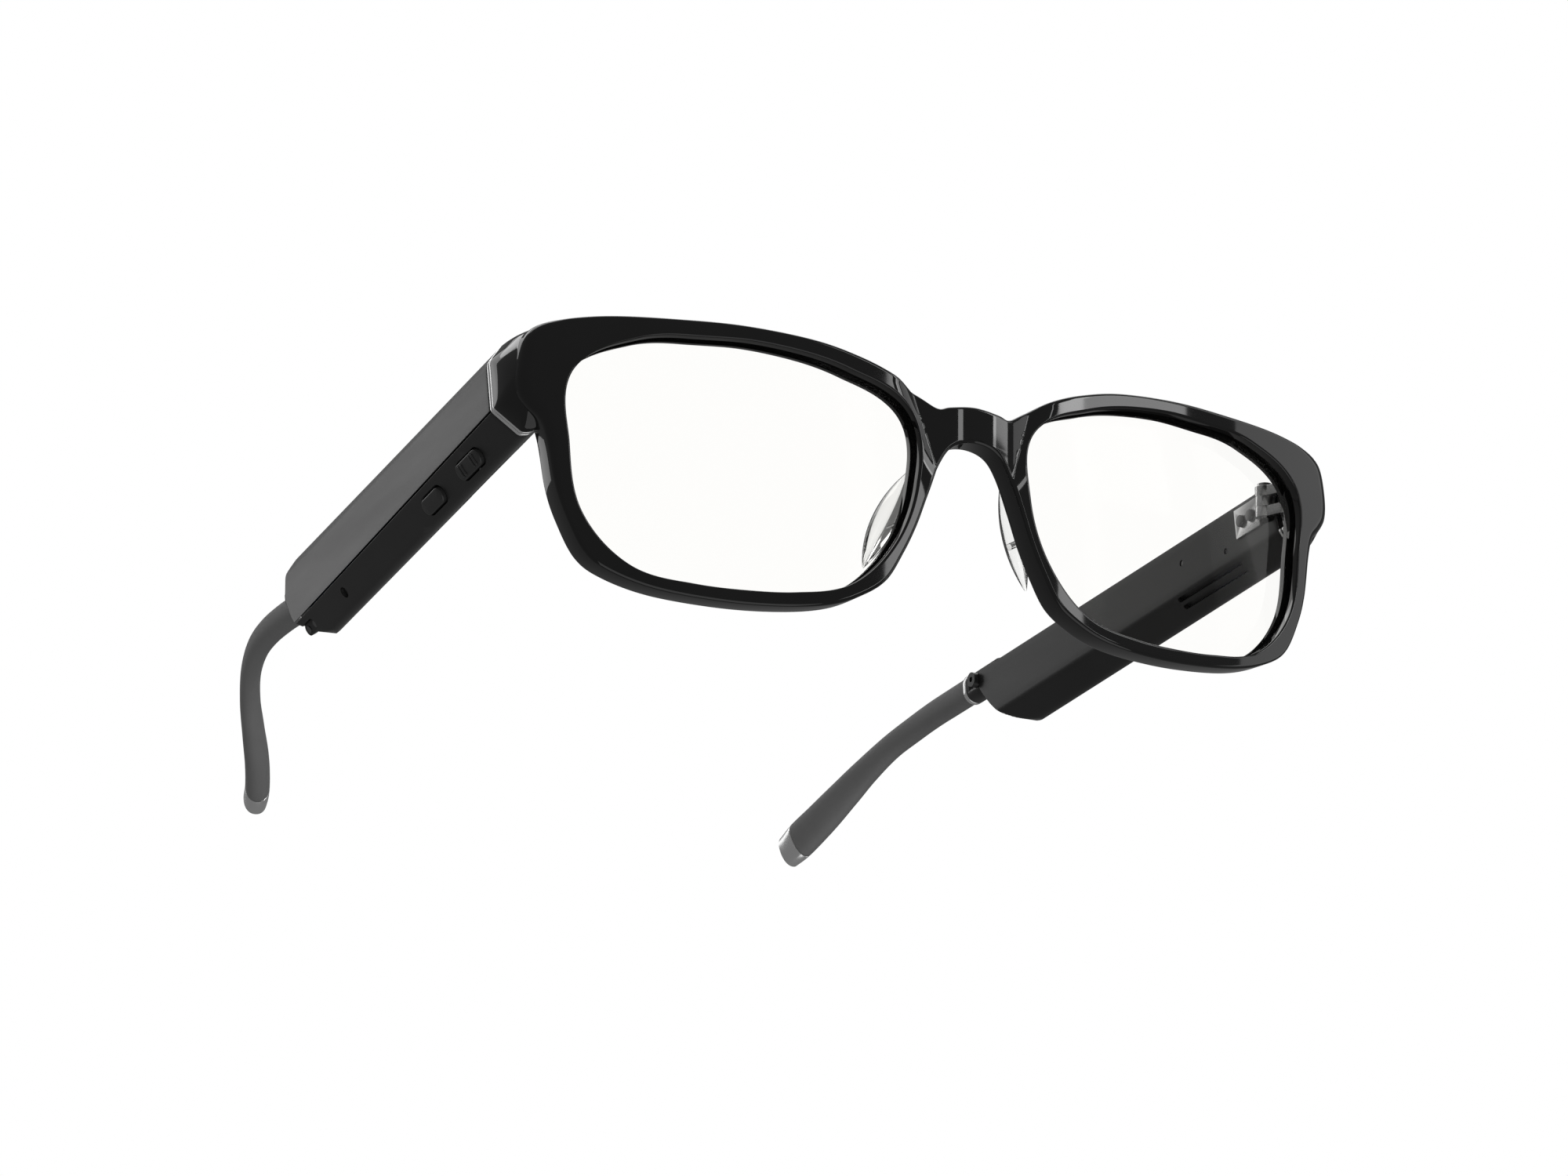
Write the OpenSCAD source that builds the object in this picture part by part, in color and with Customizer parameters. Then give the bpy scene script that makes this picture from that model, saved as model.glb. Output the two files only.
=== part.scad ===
/* [Front] */
// Width across the two endpieces, at the front face
front_w = 134.4; // [133:0.2:136]
// Distance between the two lens centres
lens_pitch = 70; // [69.5:0.1:70.5]
// Radius of the front's wrap, seen from above
wrap_r = 293; // [280:1:320]
// Thickness of the rims and the bridge
rim_t = 4.6; // [4.2:0.1:5]
// Thickness of each lens
lens_t = 2; // [1.8:0.1:2.2]
// Radius of the lens surfaces
lens_r = 200; // [180:5:240]
// Depth of the groove that holds a lens
groove = 0.8; // [0.6:0.1:0.9]

/* [Arms] */
// Angle between the front and the arms, away from square
panto = 8; // [7.5:0.1:8.5]
// Wall of the housing and the cover
wall = 1.2; // [1:0.1:1.4]
// Where the housing's flat back end stops
arm_end = 104.2; // [103.8:0.1:104.6]
// Travel of the action button
button_travel = 0.3; // [0.2:0.05:0.3]

/* [Hinges] */
// Distance of a hinge pin from the middle
hinge_x = 60.3; // [60.2:0.05:60.4]
// Radius of a hinge knuckle
knuckle_r = 1.5; // [1.4:0.05:1.6]
// Radius of a hinge pin
pin_r = 0.6; // [0.5:0.05:0.7]
// Radial clearance of the pin in the arm's knuckle
pin_gap = 0.04; // [0.02:0.01:0.08]

/* [Hidden] */
$fn = 48;
eps = 0.01;
lean = 2.42; // the front's lean when it rests on its rims and ear tips
rest_y = -83.4; // the bridge's face, ahead of the middle of the box
rest_z = 20.41; // the bridge's centre, above the table
lens_x = lens_pitch / 2;
lens_set = 0.75;
endpiece_x = 60.9; // inner face of the endpieces and of the arms
seat_y = 11.4; // where the joint between front and arm meets the inner face
seat_z = 12.4;
seat_swing = 23.7; // the joint's slant, seen from above
seat_lean = 7.7; // the joint's slant, seen from the side
seat_gap = 0.35;
seam_gap = 0.1; // on each side of the seam between housing and cover
plate_t = 0.75; // each bright plate at the joint
hinge_y = 14.8;
hinge_z = 10.4;
screw_y = [17.6, 20.2]; // the arm leaf's two screws
knuckle_h = 1.6;
knuckle_gap = 0.05;
neck_z = [hinge_z + knuckle_h / 2 + knuckle_gap, hinge_z - 1.5 * knuckle_h - knuckle_gap];
pocket_gap = 0.2; // round a knuckle, in the endpiece
let_gap = 0.03; // round a piece that is let into another
plate_x = 61.4; // the bright plates stop here and leave the hinge free
leaf_t = 0.9;
bay_y0 = 27; // the hollow inside an arm
bay_y1 = 99;
well_h = 3.35; // the cup round a button, from the facet inwards
well_floor = 3;
rocker_y = 27;
button_y = 41;
port_y = 79.5;
boss_y = 99.4; // the housing's neck that holds the ear tip
ring_y = 109;
ring_t = 1.1;
tip_y = ring_y + ring_t - 0.05; // the ear tip's square front end

// Catmull-Rom curve through p, with n steps between one point and the next
function curve_at(p, i, t) =
    let (m = len(p), a = p[(i + m - 1) % m], b = p[i % m], c = p[(i + 1) % m], d = p[(i + 2) % m])
    0.5 * (2 * b + (c - a) * t + (2 * a - 5 * b + 4 * c - d) * t * t
        + (3 * b - a - 3 * c + d) * t * t * t);
function loop_curve(p, n) = [for (i = [0:len(p) - 1]) for (j = [0:n - 1]) curve_at(p, i, j / n)];
function open_curve(p, n) =
    let (q = concat([2 * p[0] - p[1]], p, [2 * p[len(p) - 1] - p[len(p) - 2]]))
    concat([for (i = [1:len(p) - 1]) for (j = [0:n - 1]) curve_at(q, i, j / n)], [p[len(p) - 1]]);
function mirrored(p) = [for (i = [len(p) - 1:-1:0]) [-p[i][0], p[i][1]]];
function mix(a, b, t) = a + (b - a) * t;

// One half of the front's outline, from the top of the bridge round to its underside
half_top = [[4, 12.1], [5.9, 11.7], [8.7, 13.2], [13, 15.6], [18.3, 17.5], [25.5, 19], [36, 19.7],
    [46, 19.4], [55, 18.5], [61.4, 17.1], [64.9, 15.9], [66.4, 14.1], [front_w / 2, 10], [67, 6.9],
    [65.8, 4.9], [64.1, 3.2], [63.1, 0.3], [61.9, -5.9], [60.3, -10.4], [57.6, -15.3], [53.9, -17.8],
    [47.3, -19.7], [38, -20.5], [29.6, -20.3], [22.6, -19.3], [17.9, -17.5], [14, -14.8],
    [11.3, -10.4], [9.3, -6.2], [7.6, -1.6], [5.5, 3.6], [3.4, 6.3]];
front_outline = concat([[0, 12.6]], half_top, [[0, 7.2]], mirrored(half_top));

// Radii of a lens opening, every 22.5 degrees from the nose side, going over the top
lens_radii = [25.6, 26.9, 21.6, 18.4, 17.5, 18.6, 22.6, 27.1, 25.2, 25.1, 23.3, 19.8, 18.5, 19.5, 22.4, 24.1];
lens_steps = 5;
function lens_outline(grow) =
    let (r = loop_curve([for (v = lens_radii) [v, 0]], lens_steps), m = len(r))
    [for (i = [0:m - 1]) (r[i][0] + grow) * [-cos(360 * i / m), sin(360 * i / m)]];

// Section of an arm at its front and at its back, from the lower outer edge going up and round
arm_front = [[68.5, 7.6], [68.5, 15.4], [66.6, 18.2], [60.9, 15.1], [60.9, 6.6], [64, 3.6], [65.2, 3.6]];
arm_back = [[68.5, 6.4], [68.5, 16.6], [66.9, 19.5], [61, 15.5], [61, 6], [64.3, 2.4], [65.5, 2.4]];
section_y = [16, 100];
function arm_section(y) =
    let (t = (y - section_y[0]) / (section_y[1] - section_y[0]))
    [for (i = [0:6]) mix(arm_front[i], arm_back[i], t)];

// Centreline of an ear tip, its half width and its half height
tip_path = [[63.2, 110, 14.3], [63.9, 118, 14.8], [64.2, 126, 15], [63.9, 133, 14.5], [62.6, 140.5, 13],
    [60.6, 147, 10.1], [58.4, 152, 6.8], [55.9, 157.5, 3.1], [54, 163, 0.3], [53.2, 166.8, -1.1]];
tip_half = [[1.9, 2.6], [1.9, 2.6], [1.85, 2.6], [1.8, 2.6], [1.75, 2.6],
    [1.8, 2.9], [1.95, 3.3], [2.15, 3.7], [2.2, 3.9], [2.1, 3.4]];
tip_sides = 16;
tip_steps = 3;
cap_from = 24; // the ring of the ear tip where its metal cap starts

// Places the front, or an arm drawn level, as it stands on a table; side is 1 for the wearer's left
module front_place() { translate([0, rest_y, rest_z]) rotate([lean, 0, 0]) children(); }
module scale_x(side) { if (side > 0) children(); else mirror([1, 0, 0]) children(); }
module on_front(side = 1) { front_place() scale_x(side) children(); }
module on_arm(side) { front_place() scale_x(side) rotate([-panto, 0, 0]) children(); }

// Extrudes a front view from y0 back to y1
module front_view(y0, y1) { translate([0, y1, 0]) rotate([90, 0, 0]) linear_extrude(y1 - y0) children(); }
// Extrudes a side view, drawn as y and z, from x0 out to x1
module side_view(x0, x1) { translate([x0, 0, 0]) rotate([90, 0, 90]) linear_extrude(x1 - x0) children(); }
module block(low, high) { translate(low) cube(high - low); }

// The solid of an arm's section, drawn in by inset, between two places along it
module arm_solid(inset, y0, y1) {
    hull() {
        arm_slice(y0, inset);
        arm_slice(y1 - eps, inset);
    }
}
module arm_slice(y, inset) {
    translate([0, y + eps, 0]) rotate([90, 0, 0]) linear_extrude(eps)
        offset(delta = -inset) polygon(arm_section(y));
}

// A slab along the joint between front and arm, from a to b behind the joint's plane
module joint_slab(a, b) {
    translate([endpiece_x, seat_y, seat_z]) rotate([-seat_lean, 0, seat_swing])
        translate([-150, a, -100]) cube([300, b - a, 200]);
}

// Everything outside the seam between housing and cover, moved out by gap
module seam_side(gap) {
    hull() {
        seam_slice(5, gap);
        seam_slice(112, gap);
    }
}
module seam_slice(y, gap) {
    s = arm_section(y);
    along = (s[3] - s[0]) / norm(s[3] - s[0]);
    out = [along[1], -along[0]];
    a = s[0] - 6 * along + gap * out;
    b = s[3] + 6 * along + gap * out;
    translate([0, y + eps, 0]) rotate([90, 0, 0]) linear_extrude(eps)
        polygon([a, b, b + 20 * out, a + 20 * out]);
}

// Side view of an arm's body: its back end is rounded
module arm_side_view() {
    polygon([[0, -5], [86, -5], [86, 2], [90, 2.4], [94, 3.4], [97.6, 5.3], [100.6, 8], [102.6, 10.4],
        [arm_end - 0.4, 12], [arm_end, 13.2], [arm_end, 17], [103.6, 18.4], [102.4, 19.3],
        [100.6, 19.8], [92, 30], [0, 30]]);
}

// Blind slot with round ends on the under facet, u across it from its middle and v along the arm
facet_a = [68.1, 6.9];
facet_b = [65.4, 3];
facet_mid = (facet_a + facet_b) / 2;
facet_turn = atan2(facet_a[1] - facet_b[1], facet_a[0] - facet_b[0]);
module on_facet(y) { translate([facet_mid[0], y, facet_mid[1]]) rotate([0, 180 - facet_turn, 0]) children(); }
module stadium(len_y, half_w, h) {
    linear_extrude(h) union() {
        square([2 * half_w, len_y - 2 * half_w], center = true);
        for (s = [-1, 1]) translate([0, s * (len_y / 2 - half_w)]) circle(half_w);
    }
}

// A lens sits square to the front's wrap at its own centre, lens_set behind the rims' front face
lens_turn = asin(lens_x / wrap_r);
lens_mid = (wrap_r - lens_set - lens_r) * [sin(lens_turn), -cos(lens_turn)] + [0, wrap_r];
module lens_blank(grow, gap) {
    intersection() {
        translate([lens_x, 0, 0]) front_view(-3, 14) polygon(lens_outline(grow));
        translate([lens_mid[0], lens_mid[1], 0]) difference() {
            sphere(lens_r + gap, $fn = 128);
            sphere(lens_r - lens_t - gap, $fn = 128);
        }
    }
}

// Front frame: two rims, the bridge and the endpieces in one piece
module front_frame() {
    color("#1d1d1f") difference() {
        union() {
            intersection() {
                front_view(-1, 20) polygon(loop_curve(front_outline, 2));
                translate([0, wrap_r, -30]) difference() {
                    cylinder(r = wrap_r, h = 60, $fn = 96);
                    translate([0, 0, -1]) cylinder(r = wrap_r - rim_t, h = 62, $fn = 96);
                }
            }
            for (s = [-1, 1]) scale_x(s) endpiece();
        }
        for (s = [-1, 1]) scale_x(s) {
            translate([lens_x, 0, 0]) front_view(-5, 25) polygon(lens_outline(0));
            lens_blank(groove + 0.1, 0.1);
            arm_room();
            hinge_pocket(pocket_gap);
            leaf_plate(let_gap);
            leaf_necks(let_gap);
            pad_stud(0.02);
        }
    }
}
module endpiece() {
    intersection() {
        hull() {
            front_view(8, 9) polygon([[endpiece_x, 17], [64.8, 15.7], [66.4, 13.9], [67.2, 10], [67, 7],
                [65.8, 5], [64, 3.4], [endpiece_x, 3.4]]);
            rotate([-panto, 0, 0]) arm_slice(18, 0);
        }
        rotate([-panto, 0, 0]) joint_slab(-30, -plate_t - seat_gap / 2);
    }
}
// The space behind the joint that belongs to the plates and the arm
module arm_room() {
    intersection() {
        rotate([-panto, 0, 0]) intersection() {
            arm_solid(-0.03, 5, 25);
            joint_slab(-plate_t - seat_gap / 2, 8);
        }
        block([plate_x - 0.02, 0, -30], [80, 40, 40]);
    }
}
module hinge_pocket(gap) {
    translate([hinge_x, hinge_y, hinge_z - 3]) cylinder(r = knuckle_r + gap, h = 6);
}

module nose_pad() {
    translate([11.34, 7.45, -3.75]) rotate([-18.5, -14.4, 75]) intersection() {
        translate([0, 19, 0]) sphere(20, $fn = 200);
        translate([0, -17.5, 0]) sphere(20, $fn = 200);
        translate([-12.55, 0, 0]) rotate([90, 0, 0]) cylinder(r = 14.75, h = 20, center = true, $fn = 200);
        translate([12.55, 0, 0]) rotate([90, 0, 0]) cylinder(r = 14.75, h = 20, center = true, $fn = 200);
    }
    pad_stud(0);
}
module pad_stud(gap) {
    translate([9.9, 3.7 - gap, -5.2]) rotate([-90, 0, 0]) cylinder(r = 0.5 + gap, h = 3.9 + gap, $fn = 32);
}

// Hinge: a plate sunk into the endpiece carries two knuckles on necks, the arm's leaf carries one
module leaf_plate(gap) {
    block([61.8 - gap, 9 - gap, hinge_z - 2.5 - gap], [65 + gap, 10.5 + gap, hinge_z + 2.5 + gap]);
}
neck_outline = [[61.85, 9.4], [63, 9.4], [63, 10.5], [61.9, 11.2], [61.34, 11.45], [61.3, 13.7], [59.5, 14.2],
    [60.4, 11.2], [60.9, 10.5], [61.8, 10.42]];
module leaf_necks(gap) {
    for (z0 = neck_z) translate([0, 0, z0 - gap]) linear_extrude(knuckle_h + 2 * gap)
        offset(delta = gap) polygon(neck_outline);
}
module knuckle(z0, z1) { translate([hinge_x, hinge_y, z0]) cylinder(r = knuckle_r, h = z1 - z0); }
module front_leaf() {
    difference() {
        union() {
            leaf_plate(0);
            leaf_necks(0);
            for (z0 = neck_z) knuckle(z0, z0 + knuckle_h);
        }
        translate([hinge_x, hinge_y, hinge_z - 5]) cylinder(r = pin_r, h = 10);
    }
}
module hinge_pin() {
    translate([hinge_x, hinge_y, hinge_z - 2.5]) cylinder(r = pin_r - eps, h = 5);
    translate([hinge_x, hinge_y, hinge_z + 2.5]) cylinder(r = 1.1, h = 0.5);
}

// The arm's own pieces are drawn with the arm level; the hinge keeps the front's upright
module hinge_frame() { rotate([panto, 0, 0]) children(); }
module arm_leaf() {
    difference() {
        union() {
            hinge_frame() knuckle(hinge_z - knuckle_h / 2, hinge_z + knuckle_h / 2);
            arm_leaf_plate(0);
        }
        hinge_frame() translate([hinge_x, hinge_y, hinge_z - 5]) cylinder(r = pin_r + pin_gap, h = 10);
        arm_screw_holes(0.5, 3.6);
    }
}
module arm_leaf_plate(gap) {
    block([endpiece_x - 0.3, 13.6, 11.8 - gap], [endpiece_x + 0.8 + gap, 15.6, 13 + gap]);
    block([endpiece_x - 0.3, 15.5, 9.6 - gap], [endpiece_x + leaf_t + gap, 22 + gap, 14.4 + gap]);
}
module arm_screw_holes(r, depth) {
    for (y = screw_y) translate([endpiece_x - 0.8, y, 12]) rotate([0, 90, 0]) cylinder(r = r, h = depth);
}
module arm_screws() {
    for (y = screw_y) translate([endpiece_x - 0.7, y, 12]) rotate([0, 90, 0]) cylinder(r = 0.95, h = 0.4);
    translate([0.1, 0, 0]) arm_screw_holes(0.49, 3.2);
}

module front_plate() {
    intersection() {
        rotate([-panto, 0, 0]) intersection() {
            arm_solid(0, 5, 25);
            joint_slab(-plate_t - seat_gap / 2, -seat_gap / 2);
        }
        plate_clear();
    }
}
// What a plate keeps clear of: the hinge's space at the inner face
module plate_clear() {
    difference() {
        cube([200, 80, 80], center = true);
        hinge_pocket(0.35);
        block([50, 0, -30], [plate_x, 40, 40]);
    }
}
module arm_plate() {
    intersection() {
        arm_solid(0, 5, 25);
        joint_slab(seat_gap / 2, seat_gap / 2 + plate_t);
        hinge_frame() plate_clear();
    }
}

module arm_shell() {
    difference() {
        intersection() {
            arm_solid(0, 5, 106);
            side_view(50, 80) arm_side_view();
            joint_slab(seat_gap / 2 + plate_t, 130);
        }
        intersection() {
            arm_solid(wall, 6, 105);
            block([50, bay_y0, -10], [80, bay_y1, 30]);
            side_view(50, 80) translate([-wall, 0]) arm_side_view();
        }
        hinge_frame() hinge_pocket(0.35);
    }
}
module cover() {
    difference() {
        intersection() {
            arm_shell();
            seam_side(seam_gap);
        }
        boss(0.05);
        arm_leaf_plate(let_gap);
    }
}
module gasket() {
    difference() {
        intersection() {
            arm_solid(0.3, 24, 101);
            side_view(50, 80) translate([-0.3, 0]) arm_side_view();
            difference() {
                seam_side(-seam_gap);
                seam_side(seam_gap);
            }
        }
        intersection() {
            arm_solid(wall - 0.05, 26, 100);
            block([50, bay_y0 + 0.3, -10], [80, bay_y1 - 0.5, 30]);
        }
        boss(0.05);
    }
}

module boss(gap) {
    translate([63.2, boss_y - gap, 14.1]) rotate([-90, 0, 0])
        oval(1.95 + gap, 2.75 + gap, ring_y - boss_y + gap);
}
module oval(half_w, half_h, h) {
    linear_extrude(h) union() {
        square([2 * half_w, 2 * (half_h - half_w)], center = true);
        for (s = [-1, 1]) translate([0, s * (half_h - half_w)]) circle(half_w);
    }
}

// Housing: the inner half of an arm, with the openings for what is let into it
module housing(side) {
    difference() {
        union() {
            difference() {
                arm_shell();
                seam_side(-seam_gap);
            }
            boss(0);
            if (side < 0) {
                on_facet(rocker_y) translate([0, 0, -well_h]) stadium(10.4, 2.3, well_h - 0.3);
                on_facet(button_y) translate([0, 0, -well_h]) stadium(9.4, 2.3, well_h - 0.3);
            }
        }
        arm_leaf_plate(let_gap);
        arm_screw_holes(0.5, 3.6);
        for (d = slot_rows) speaker_slot(d, 0.5);
        translate([60, 105.2, 14.3]) rotate([0, 90, 0]) cylinder(r = 1.3, h = 1.6);
        translate([60, 105.2, 14.3]) rotate([0, 90, 0]) cylinder(r = 0.5, h = 4.9);
        translate([63.2, 104, 14.3]) rotate([-90, 0, 0]) cylinder(r = 0.72, h = 8);
        on_facet(port_y) translate([0, 0, -4]) cylinder(r = 0.8, h = 8);
        if (side > 0) {
            indicator_hole(38, 11.6, 0.45);
            indicator_hole(25.6, 9, 0.45);
        } else {
            on_facet(rocker_y) translate([0, 0, -well_floor]) stadium(8.6, 1.5, 6);
            on_facet(button_y) translate([0, 0, -well_floor]) stadium(7.6, 1.5, 6);
            rocker_axle(0.36, 4.2);
            contact_cut(0.05);
        }
    }
}
slot_rows = [0, 1];
module speaker_slot(row, half) {
    translate([61 + row * 0.95, 31.5, 5.6 - row * 1.15]) rotate([0, 45, 0]) translate([0, 0, -2])
        stadium(18, half, 6);
}
module indicator_hole(y, z, r) { translate([60, y, z]) rotate([0, 90, 0]) cylinder(r = r, h = 2.4); }

module indicator_plug(y, z) { translate([61.05, y, z]) rotate([0, 90, 0]) cylinder(r = 0.43, h = 1.2); }

module battery() {
    block([63.1, 52, 6.6], [66.6, 97, 15]);
}
module board() {
    color("#1e5a3a") block([63, 28, 12.4], [66.6, 50, 13.2]);
    color("#2b2b2d") {
        block([63.6, 33, 13.2], [66.2, 38, 14.2]);
        block([63.6, 40, 13.2], [66.2, 44, 14]);
    }
}
module speaker() { block([62.3, 28, 9.3], [65.2, 46, 12.2]); }
module grille(half_w) {
    intersection() {
        translate([62.75, 31.5, 6.75]) rotate([0, 45, 0]) translate([0, 0, -0.1]) linear_extrude(0.2)
            square([2 * half_w, 19], center = true);
        arm_solid(wall + 0.02, 20, 60);
        block([50, bay_y0 + 0.05, 0], [80, 60, 20]);
    }
}
module port_mesh() { on_facet(port_y) translate([0, 0, -0.6]) cylinder(r = 0.78, h = 0.3); }

// Ear tip: an oval section carried along the tip's centreline
function tip_rings(grow) =
    let (c = open_curve(tip_path, tip_steps), h = open_curve(tip_half, tip_steps), m = len(c))
    [for (i = [0:m - 1])
        let (d = c[min(i + 1, m - 1)] - c[max(i - 1, 0)],
            u = cross(d, [0, 0, 1]) / norm(cross(d, [0, 0, 1])),
            w = cross(u, d) / norm(d))
        [for (k = [0:tip_sides - 1])
            let (a = 360 * k / tip_sides)
            c[i] + (h[i][0] + grow) * cos(a) * u + (h[i][1] + grow) * sin(a) * w]];
module sweep(rings) {
    m = len(rings);
    n = tip_sides;
    polyhedron(points = [for (r = rings) for (q = r) q],
        faces = concat(
            [[for (k = [n - 1:-1:0]) k]],
            [for (i = [0:m - 2]) for (k = [0:n - 1])
                [i * n + k, (i + 1) * n + (k + 1) % n, (i + 1) * n + k]],
            [for (i = [0:m - 2]) for (k = [0:n - 1])
                [i * n + k, i * n + (k + 1) % n, (i + 1) * n + (k + 1) % n]],
            [[for (k = [0:n - 1]) (m - 1) * n + k]]));
}
function part_of(list, a, b) = [for (i = [a:b]) list[i]];
module ear_tip() {
    difference() {
        sweep(part_of(tip_rings(0), 0, cap_from));
        sweep(concat([[for (q = tip_rings(-1.15)[0]) q - [0, 1, 0]]], part_of(tip_rings(-1.15), 1, 20)));
        block([50, 100, 0], [75, tip_y, 30]);
    }
}
module core_wire() {
    difference() {
        sweep(part_of(tip_rings(-1.2), 0, 20));
        block([50, 100, 0], [75, tip_y, 30]);
    }
    translate([63.2, 106, 14.3]) rotate([-90, 0, 0]) cylinder(r = 0.65, h = 4.1);
}
module tip_cap() { sweep(part_of(tip_rings(0), cap_from, len(tip_rings(0)) - 1)); }
module tip_ring() {
    translate([63.2, ring_y, 14.25]) rotate([-90, 0, 0]) difference() {
        oval(2.1, 2.85, ring_t - 0.1);
        translate([0, 0, -1]) cylinder(r = 0.72, h = 4);
    }
}
module tip_screw() {
    translate([61, 105.2, 14.3]) rotate([0, 90, 0]) {
        cylinder(r = 0.75, h = 0.6);
        cylinder(r = 0.48, h = 3.6);
    }
}
module washer() {
    translate([60.95, 105.2, 14.3]) rotate([0, 90, 0]) difference() {
        cylinder(r = 1.28, h = 0.6);
        translate([0, 0, -1]) cylinder(r = 0.77, h = 3);
    }
}

// Buttons on the under facet of the wearer's right arm
module rocker() {
    on_facet(rocker_y) difference() {
        union() {
            translate([0, 0, -2.1]) stadium(8, 1.25, 2.5);
            for (y = [-2.4, -1.6, 1.6, 2.4]) translate([-0.9, y - 0.2, 0.3]) cube([1.8, 0.4, 0.3]);
        }
        axle(0.4, 4);
    }
}
module axle(r, h) { translate([0, 0, -1.3]) rotate([0, 90, 0]) cylinder(r = r, h = h, center = true); }
module rocker_axle(r, h) { on_facet(rocker_y) axle(r, h); }
module rocker_switches() {
    on_facet(rocker_y) for (s = [-1, 1]) translate([0, s * 2.6, -well_floor]) cylinder(r = 0.8, h = 0.6);
}
module action_button() {
    on_facet(button_y) translate([0, 0, -2]) stadium(7, 1.25, 2.5);
}
module button_switch() {
    on_facet(button_y) translate([0, 0, -well_floor])
        cylinder(r = 0.9, h = well_floor - 2 - button_travel - 0.05);
}
module contact_cut(gap) {
    on_facet(96) translate([0, 0, -1.2 - gap]) stadium(5.4 + 2 * gap, 1 + gap, 3);
}
module contact_carrier() {
    on_facet(96) difference() {
        translate([0, 0, -1.2]) stadium(5.4, 1, 1);
        for (s = [-1, 1]) translate([0, s * 1.4, -2]) cylinder(r = 0.62, h = 4);
    }
}
module contacts() {
    on_facet(96) for (s = [-1, 1]) translate([0, s * 1.4, -1.2]) cylinder(r = 0.6, h = 1.1);
}

front_place() front_frame();
color("#eef2f2") on_front(1) lens_blank(groove, 0);  // left_lens
color("#eef2f2") on_front(-1) lens_blank(groove, 0);  // right_lens
color("#dfe3e2") on_front(1) nose_pad();  // left_nose_pad
color("#dfe3e2") on_front(-1) nose_pad();  // right_nose_pad
color("silver") on_front(1) front_leaf();  // left_front_leaf
color("silver") on_front(-1) front_leaf();  // right_front_leaf
color("silver") on_front(1) front_plate();  // left_front_plate
color("silver") on_front(-1) front_plate();  // right_front_plate
color("silver") on_front(1) hinge_pin();  // left_hinge_pin
color("silver") on_front(-1) hinge_pin();  // right_hinge_pin
color("silver") on_arm(1) arm_leaf();  // left_arm_leaf
color("silver") on_arm(-1) arm_leaf();  // right_arm_leaf
color("silver") on_arm(1) arm_screws();  // left_arm_screws
color("silver") on_arm(-1) arm_screws();  // right_arm_screws
color("silver") on_arm(1) arm_plate();  // left_arm_plate
color("silver") on_arm(-1) arm_plate();  // right_arm_plate
color("#2b2b2d") on_arm(1) housing(1);  // left_housing
color("#2b2b2d") on_arm(-1) housing(-1);  // right_housing
color("#454547") on_arm(1) cover();  // left_cover
color("#454547") on_arm(-1) cover();  // right_cover
color("#111112") on_arm(1) gasket();  // left_gasket
color("#111112") on_arm(-1) gasket();  // right_gasket
color("#3a6ea5") on_arm(1) battery();  // left_battery
color("#3a6ea5") on_arm(-1) battery();  // right_battery
on_arm(1) board();  // left_board
on_arm(-1) board();  // right_board
color("#55565a") on_arm(1) speaker();  // left_speaker
color("#55565a") on_arm(-1) speaker();  // right_speaker
color("#1a1a1b") on_arm(1) grille(1.2);  // left_grille
color("#1a1a1b") on_arm(-1) grille(0.8);  // right_grille
color("#1a1a1b") on_arm(1) port_mesh();  // left_port_mesh
color("#1a1a1b") on_arm(-1) port_mesh();  // right_port_mesh
color("silver") on_arm(1) tip_ring();  // left_tip_ring
color("silver") on_arm(-1) tip_ring();  // right_tip_ring
color("#58585a") on_arm(1) ear_tip();  // left_ear_tip
color("#58585a") on_arm(-1) ear_tip();  // right_ear_tip
color("silver") on_arm(1) core_wire();  // left_core_wire
color("silver") on_arm(-1) core_wire();  // right_core_wire
color("silver") on_arm(1) tip_cap();  // left_tip_cap
color("silver") on_arm(-1) tip_cap();  // right_tip_cap
color("#8d8d90") on_arm(1) tip_screw();  // left_tip_screw
color("#8d8d90") on_arm(-1) tip_screw();  // right_tip_screw
color("silver") on_arm(1) washer();  // left_washer
color("silver") on_arm(-1) washer();  // right_washer
color("#d8d8d0") on_arm(1) indicator_plug(38, 11.6);  // status_light
color("#101014") on_arm(1) indicator_plug(25.6, 9);  // wear_sensor
color("#3c3c3e") on_arm(-1) rocker();  // volume_rocker
color("silver") on_arm(-1) rocker_axle(0.35, 4.2);  // rocker_pin
color("gold") on_arm(-1) rocker_switches();
color("#3c3c3e") on_arm(-1) action_button();
color("gold") on_arm(-1) button_switch();
color("#4a4a4c") on_arm(-1) contacts();  // charging_contacts
color("#151516") on_arm(-1) contact_carrier();
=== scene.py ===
import math

import bmesh
import bpy
import numpy as np
from mathutils import Matrix, Vector


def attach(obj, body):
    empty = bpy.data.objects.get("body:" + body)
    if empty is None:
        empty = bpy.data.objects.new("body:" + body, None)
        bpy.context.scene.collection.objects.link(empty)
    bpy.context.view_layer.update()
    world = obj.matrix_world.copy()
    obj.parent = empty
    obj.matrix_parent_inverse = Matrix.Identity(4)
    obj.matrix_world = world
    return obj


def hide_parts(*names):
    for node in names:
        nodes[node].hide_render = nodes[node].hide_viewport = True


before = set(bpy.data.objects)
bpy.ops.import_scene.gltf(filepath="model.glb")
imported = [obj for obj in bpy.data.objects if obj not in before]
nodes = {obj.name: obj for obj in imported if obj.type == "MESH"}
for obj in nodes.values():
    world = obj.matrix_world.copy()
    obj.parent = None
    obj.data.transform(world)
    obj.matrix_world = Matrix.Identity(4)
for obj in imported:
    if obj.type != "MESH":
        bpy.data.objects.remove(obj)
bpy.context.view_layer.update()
print("frame loaded:", len(nodes), "nodes")

# Where the front stands and how the arms hang from it, in millimetres and degrees
stand = {"lean": 2.42, "y": -83.4, "z": 20.41, "armTilt": 8.0}


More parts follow.
